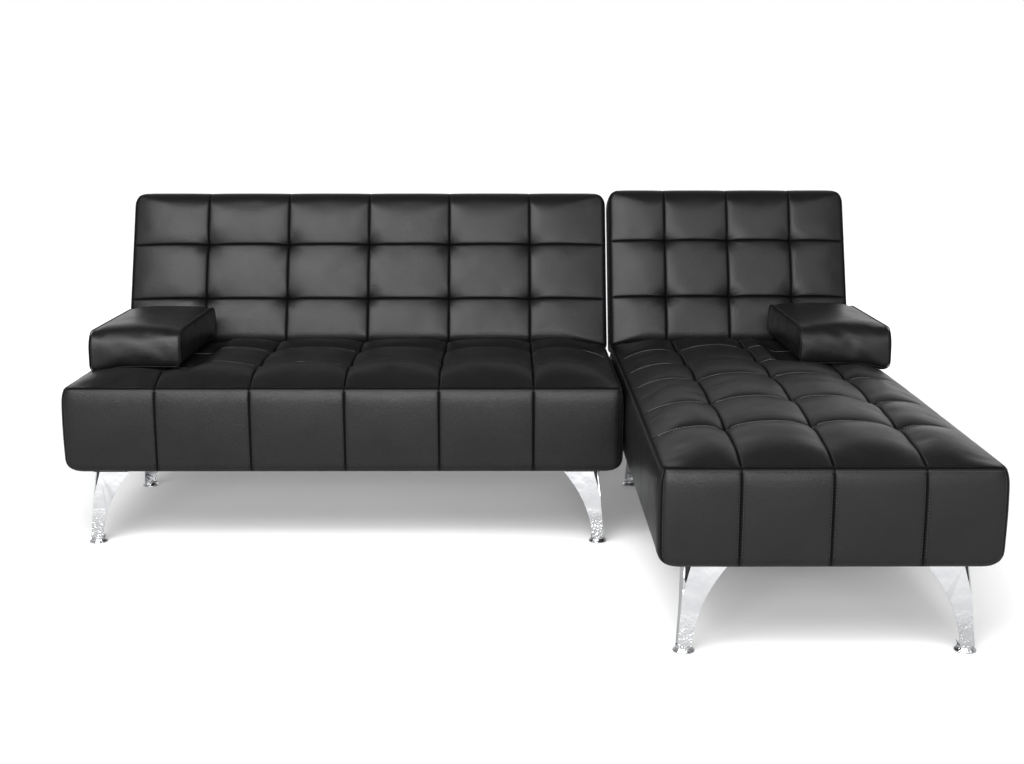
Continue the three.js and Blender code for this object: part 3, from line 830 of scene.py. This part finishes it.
def swelled(low, high, columns, amount):
    """Middle, half width and seams of a row from low to high, once its outer side has swelled."""
    half = (high.x - low.x + amount) / 2
    shift = math.copysign(amount / 2, low.x + high.x)
    return (low.x + high.x) / 2 + shift, half, [c - shift for c in columns]


def make_seat(module, seed):
    low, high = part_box(f"{module['name']}_seat_cushion")
    centre, half, columns = swelled(low, high, module["columns"], module["outer_swell"])
    bolster = f"{module['name']}_bolster"
    rest_low, rest_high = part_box(bolster)
    press = 6 * MM
    pressed_u = rest_low.x - centre + press, rest_high.x - centre - press
    pressed_v = rest_low.y + press, rest_high.y - press
    return Block(
        f"{module['name']}_seat_upholstery", seed,
        half=half, start=low.y, end=high.y, base=low.z,
        columns=columns, rows=[low.y + r for r in module["seat_rows"]],
        origin=(centre, 0, 0), u_axis=(1, 0, 0), v_axis=(0, 1, 0), w_axis=(0, 0, 1),
        level=SEAT_REAR_LEVEL, pit=1.5 * MM, end_roll=HINGE_ROLL, base_radii=(34 * MM, 18 * MM),
        start_seams=True, pressed=((*pressed_u, *pressed_v, rest_low.z - 1 * MM),), **module["seat"],
    )


def make_back(module, seed):
    low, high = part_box(f"{module['name']}_back_cushion")
    return Block(
        f"{module['name']}_back_upholstery", seed,
        half=(high.x - low.x) / 2, start=BACK_START, end=module["back_end"], base=BACK_REAR,
        columns=module["columns"], rows=module["back_rows"],
        origin=((low.x + high.x) / 2, HINGE.y, HINGE.z),
        u_axis=(1, 0, 0), v_axis=UP_SLOPE, w_axis=OUT_OF_BACK,
        level=BACK_FRONT, edge_levels=(26 * MM, 26 * MM), rise=13 * MM, crown_reach=(0.20, 0.2),
        lift=(4 * MM, 4 * MM, 8 * MM), pit=16 * MM, start_roll=HINGE_ROLL, end_roll=BACK_TOP_ROLL,
        base_radii=(12 * MM, 12 * MM), corner_start=16 * MM, corner_end=BACK_TOP_ROLL,
        edge_fold=(6 * MM, 14 * MM), bulge=3 * MM, end_bulge=0.8 * MM,
        end_seams=True, crest=7 * MM, scallop=1.0 * MM, pit_reach=19 * MM, pit_power=1.0, power=4.0,
        valley=(1.6 * MM, 7 * MM), cut=(2.6 * MM, 1.7 * MM), lip=0.2 * MM, cloth=(0.7, 0.002, 5 * MM),
    )


def upholster(block, body, row_thread):
    relaxed = block.relax()
    obj = block.build(LEATHER, relaxed)
    dress(obj, body, [block.name.replace("upholstery", "cushion")])
    row_lines, lines = block.stitch_lines()
    for kind, sewn, thread in (("row_stitching", row_lines, row_thread), ("stitching", lines, THREAD)):
        thread_obj = mesh_object(block.name.replace("upholstery", kind), *stitches(sewn), thread)
        dress(thread_obj, body)


upholster(make_seat(SOFA, SEED), "seats", ROW_HIGHLIGHT_THREAD)
upholster(make_seat(CHAISE, SEED + 1), "seats", ROW_HIGHLIGHT_THREAD)
upholster(make_back(SOFA, SEED + 2), "sofa_backrest", THREAD)
upholster(make_back(CHAISE, SEED + 3), "chaise_backrest", THREAD)


# ---------------------------------------------------------------- bolsters
BOLSTER_STEP = 9 * MM
BOLSTER_START = np.array([5.0, 6.0, 5.0]) * MM      # how far inside its size the cloth starts
BOLSTER_DROP, BOLSTER_SAG = 4 * MM, 15 * MM
BOLSTER_TOP_CORNER, BOLSTER_LOW_CORNER = 42 * MM, 22 * MM
BOLSTER_TUCK = 26 * MM                              # radius of its lower side edges
BOLSTER_CAP = 17 * MM
SIDE_SWELL_LIMIT, SIDE_EASING = 5 * MM, 16


def bolster_grid(half):
    """Points and faces of a rounded box with a side panel at each end of X, and the rings round it."""
    counts = [max(2, round(2 * h / BOLSTER_STEP)) for h in half]
    xs, ys, zs = (np.linspace(-h, h, n + 1) for h, n in zip(half, counts))
    faces, loop_y, loop_z = block_topology(len(ys), len(zs), len(xs) - 1)

    def plan(y, z):
        far_y, far_z = round_corner(np.abs(y), z, half[1], half[2], BOLSTER_TOP_CORNER, 1)
        far_y, far_z = round_corner(far_y, far_z, half[1], -half[2], BOLSTER_LOW_CORNER, -1)
        return far_y * np.sign(y), far_z

    side = np.stack(plan(*np.meshgrid(ys, zs, indexing="ij")), axis=-1)
    outlines = [side.reshape(-1, 2), *[side[loop_y, loop_z]] * (len(xs) - 1), side[1:-1, 1:-1].reshape(-1, 2)]
    places = [*xs[::-1], -half[0]]
    verts = [np.column_stack([np.full(len(outline), x), outline]) for x, outline in zip(places, outlines)]
    count = len(loop_y)
    strips = len(outlines[0]) + np.arange((len(xs) - 1) * count).reshape(-1, count)
    return np.concatenate(verts), faces, np.array([loop_y * len(zs) + loop_z, *strips])


def make_bolster(node, body, seed):
    low, high = (np.array(corner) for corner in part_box(node))
    centre, half = (low + high) / 2, (high - low) / 2
    verts, faces, rings = bolster_grid(half - BOLSTER_START)
    right, left, front_edge = rings[0], rings[-1], rings[:, 0]
    above = verts[:, 2] - verts[:, 2].min()
    verts[:, 0] *= 1 - arc_inset(above, BOLSTER_TUCK) / half[0]
    verts[:, 2] -= BOLSTER_DROP
    creases = waves(verts[:, 0] + verts[:, 2], verts[:, 1] - verts[:, 2], seed, 0.09, 1.2 * MM)
    wrinkled = verts + creases[:, None] * unit(verts)
    pinned = np.unique(np.concatenate([right, left, front_edge]))
    wrinkled[pinned] = verts[pinned]
    shape = wrinkled
    move = inflate(wrinkled, faces, pinned, 6.5, 0.012, 20, BOLSTER_CAP, 5)
    shape = wrinkled + ease(move, faces, rings.ravel(), SIDE_EASING)
    outer = math.copysign(1, centre[0]) * shape[:, 0] / half[0]
    sag = BOLSTER_SAG * smooth((outer - 0.2) / 0.8)
    shape[:, 2] -= sag * smooth(0.75 - shape[:, 2] / half[2] / 2)
    limit_x = half[0] + SIDE_SWELL_LIMIT
    shape[:, 0] = np.clip(shape[:, 0], -limit_x, limit_x)
    shape[:, 1] = np.minimum(shape[:, 1], half[1])
    shape[:, 2] = np.maximum(shape[:, 2], -half[2] - 2 * MM - sag)
    shape = shape + centre
    obj = mesh_object(node.replace("_bolster", "_arm_bolster"), shape, faces, LEATHER)
    # Painted shade along the bolster's seams: the leather there is drawn darker and duller.
    seam_shade = np.zeros(len(shape))
    seam_shade[pinned] = 0.8
    paint_seam_shade(obj, seam_shade)
    subdivide = obj.modifiers.new("subdivide", "SUBSURF")
    subdivide.levels = subdivide.render_levels = 1
    dress(obj, body, [node])
    beads = [tube(shape[right]), tube(shape[left]), tube(shape[front_edge], closed=False)]
    bead_faces, start = [], 0
    for bead, bead_sides in beads:
        bead_faces += [[i + start for i in face] for face in bead_sides]
        start += len(bead)
    bead_verts = np.concatenate([bead for bead, _ in beads])
    piping = mesh_object(obj.name + "_piping", bead_verts, bead_faces, PIPING)
    dress(piping, body)
    lines = []
    for ring, seam in ((rings[1], right), (rings[-2], left)):
        points = shape[ring] * 0.6 + shape[seam] * 0.4
        points = np.concatenate([points, points[:1]])
        outward = unit(points - centre - (points - centre) * [1, 0.86, 0])
        lines.append((points + outward * 0.6 * MM, outward))
    thread_verts, thread_faces = stitches(lines)
    dress(mesh_object(obj.name + "_stitching", thread_verts, thread_faces, THREAD), body)


make_bolster("sofa_bolster", "left_bolster", SEED + 10)
make_bolster("chaise_bolster", "right_bolster", SEED + 11)


# ---------------------------------------------------------------- rear panels and dust covers
def pad(name, size, origin, axes, corner, roll, crown, material, step=14 * MM):
    """A thin closed pad with rounded corners and a rolled edge, domed by crown in the middle."""
    half_u, half_v, thick = size
    edge = [o * MM for o in (0, 1.2, 2.6, 4.5, 7, 10.5)]
    lines = []
    for half in (half_u, half_v):
        inner = np.linspace(-half + edge[-1], half - edge[-1], round(2 * half / step) + 1)
        ends = [side * (half - e) for side in (-1, 1) for e in edge]
        lines.append(np.array(sorted({*ends, *inner})))
    us, vs = lines
    levels = [0.12, 0.35, 0.65, 0.88, 1.0]
    faces, loop_u, loop_v = block_topology(len(us), len(vs), len(levels))

    def surface(u, v, t):
        near = np.minimum(half_u - np.abs(u), half_v - np.abs(v))
        dome = crown * (1 - (u / half_u) ** 2) * (1 - (v / half_v) ** 2)
        top = thick - arc_inset(near, roll) + dome
        x, y = round_corner(np.abs(u), np.abs(v), half_u, half_v, corner, 1)
        return np.stack([x * np.sign(u), y * np.sign(v), top * (1 - t)], axis=-1)

    top = surface(*np.meshgrid(us, vs, indexing="ij"), 0.0).reshape(-1, 3)
    rings = [surface(us[loop_u], vs[loop_v], level) for level in levels]
    base = surface(*np.meshgrid(us[1:-1], vs[1:-1], indexing="ij"), 1.0).reshape(-1, 3)
    local = np.concatenate([top, *rings, base])
    return mesh_object(name, local @ np.array(axes, float) + np.array(origin), faces, material)


PANEL_INSET, PANEL_CORNER, PANEL_THICK = 14 * MM, 40 * MM, 15.5 * MM


def make_back_panel(module, body):
    name = module["name"]
    low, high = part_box(f"{name}_back_panel")
    half_v = (module["back_end"] - BACK_START) / 2 - PANEL_INSET
    middle = (module["back_end"] + BACK_START) / 2
    rear = HINGE + Vector(UP_SLOPE) * middle + Vector(OUT_OF_BACK) * (BACK_REAR - 0.3 * MM)
    origin = ((low.x + high.x) / 2, rear.y, rear.z)
    axes = ((-1, 0, 0), UP_SLOPE, tuple(-x for x in OUT_OF_BACK))
    size = ((high.x - low.x) / 2, half_v, PANEL_THICK)
    panel = pad(f"{name}_rear_panel", size, origin, axes, PANEL_CORNER, 7 * MM, 2 * MM, LEATHER)
    dress(panel, body, [f"{name}_back_panel"])


def make_dust_cover(name):
    node = f"{name}_dust_cover"
    low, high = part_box(node)
    size = ((high.x - low.x) / 2, (high.y - low.y) / 2, high.z - low.z)
    origin = ((low.x + high.x) / 2, (low.y + high.y) / 2, high.z)
    axes = ((1, 0, 0), (0, -1, 0), (0, 0, -1))
    cover = pad(f"{name}_underside_cloth", size, origin, axes, 6 * MM, 1 * MM, 3 * MM, DUST, step=25 * MM)
    dress(cover, "seats", [node])


make_back_panel(SOFA, "sofa_backrest")
make_back_panel(CHAISE, "chaise_backrest")
make_dust_cover("sofa")
make_dust_cover("chaise")


# ---------------------------------------------------------------- finishes on the frame's own parts
FRAME_FINISHES = (
    ("_leg_bracket_", PLASTIC, 0.8),
    ("_leg_", CHROME, 0.7),
    ("_foot_", CHROME, 0.8),
    ("_rail", STEEL, 2.0),
    ("_deck_board", PLY, 0.8),
    ("_core_board", PLY, 0.8),
    ("_hinge_plate_", ZINC, 0.5),
    ("_hinge_arm_", ZINC, 0.5),
    ("_hinge_bolt_", ZINC, 0.5),
    ("link_plate", ZINC, 0.5),
)


def finish_node(name, node):
    for part, material, bevel in FRAME_FINISHES:
        if part in name:
            node.data.materials.clear()
            node.data.materials.append(material)
            weld = node.modifiers.new("weld", "WELD")
            weld.merge_threshold = 0.02 * MM
            rounded = node.modifiers.new("bevel", "BEVEL")
            rounded.width = bevel * MM
            rounded.segments = 2
            rounded.limit_method = "ANGLE"
            rounded.angle_limit = math.radians(32)
            return


for node_name, node in NODES.items():
    finish_node(node_name, node)


# ---------------------------------------------------------------- camera
CAMERA_PLACE = (0.0554, -3.7730, 1.1688)
CAMERA_TURN = (math.radians(90 - 11.107), 0.0, math.radians(-0.208))
SENSOR, LENS = 36.0, 50.275
camera_data = bpy.data.cameras.new("camera")
camera_data.sensor_width = SENSOR
camera_data.lens = LENS
camera = link(bpy.data.objects.new("camera", camera_data))
camera.location = CAMERA_PLACE
camera.rotation_euler = CAMERA_TURN
bpy.context.scene.camera = camera


# ---------------------------------------------------------------- floor, world and lights
FLOOR_HALF = 30.0
ROOM_REAR, ROOM_FRONT, ROOM_CEILING, ROOM_SIDE, BACKGROUND_LIGHT = 0.92, 0.70, 0.12, 0.5, 1.0
FRONT_LEFT = (-0.40, -0.92, 0.0)
FLOOR_CORNERS = [(x * FLOOR_HALF, y * FLOOR_HALF, 0) for x, y in ((-1, -1), (1, -1), (1, 1), (-1, 1))]
floor = mesh_object("floor", FLOOR_CORNERS, [(0, 1, 2, 3)], floor_finish())

world = bpy.data.worlds.new("studio")
bpy.context.scene.world = world
world.use_nodes = True
bpy.context.scene.view_settings.view_transform = "Standard"


def world_node(kind, sockets=(), **settings):
    return add_node(world.node_tree, kind, sockets, **settings)


def world_span(value, low, high, to_low, to_high):
    sockets = {"Value": value, "From Min": low, "From Max": high, "To Min": to_low, "To Max": to_high}
    return world_node("ShaderNodeMapRange", sockets, interpolation_type="SMOOTHSTEP").outputs["Result"]


# Reflections see a room that is a little darker in front of the object than behind it, dimmer at the sides
# and dark overhead. The backdrop itself is plain white.
direction = world_node("ShaderNodeTexCoord").outputs["Generated"]
toward = world_node("ShaderNodeVectorMath", {0: direction, 1: FRONT_LEFT}, operation="DOT_PRODUCT")
parts = world_node("ShaderNodeSeparateXYZ", {0: direction}).outputs
sideways = world_node("ShaderNodeMath", {0: parts["X"]}, operation="ABSOLUTE").outputs[0]
level = world_span(toward.outputs["Value"], -0.6, 0.9, ROOM_REAR, ROOM_FRONT)
side_dimming = world_span(sideways, 0.5, 0.9, 1.0, ROOM_SIDE)
dimmed = world_node("ShaderNodeMath", {0: level, 1: side_dimming}, operation="MULTIPLY")
room = world_span(parts["Z"], 0.25, 0.80, dimmed.outputs[0], ROOM_CEILING)
seen = world_node("ShaderNodeLightPath").outputs["Is Camera Ray"]
strength = world_node("ShaderNodeMapRange", {"Value": seen, "To Min": room, "To Max": BACKGROUND_LIGHT})
background = world.node_tree.nodes["Background"]
background.inputs["Color"].default_value = (1.0, 1.0, 1.0, 1)
world.node_tree.links.new(strength.outputs["Result"], background.inputs["Strength"])


def softbox(name, size, place, target, watts, only=None):
    """A soft rectangular light. With only, it lights nothing but those objects."""
    data = bpy.data.lights.new(name, "AREA")
    data.shape = "RECTANGLE"
    data.size, data.size_y = size
    data.energy = watts
    light = link(bpy.data.objects.new(name, data))
    light.location = place
    light.rotation_euler = (Vector(target) - Vector(place)).to_track_quat("-Z", "Y").to_euler()
    light.visible_camera = False
    if only:
        lit = bpy.data.collections.new(f"{name}_lights")
        for obj in only:
            lit.objects.link(obj)
        light.light_linking.receiver_collection = lit
    return light


softbox("key", (3.8, 2.8), (-1.7, -3.0, 3.9), (-0.2, 0.0, 0.4), 175)
softbox("front", (3.4, 1.3), (-0.4, -4.8, 1.75), (0.0, 0.0, 0.4), 95)
softbox("fill", (2.0, 2.2), (2.4, -3.2, 3.7), (0.2, 0.0, 0.4), 34)
softbox("floor_front", (8.0, 1.4), (0.0, -7.0, 1.9), (0.0, 0.0, 0.1), 420, only=[floor])
softbox("floor_top", (4.0, 2.4), (0.0, -1.1, 3.3), (0.0, -0.4, 0.0), 105, only=[floor])
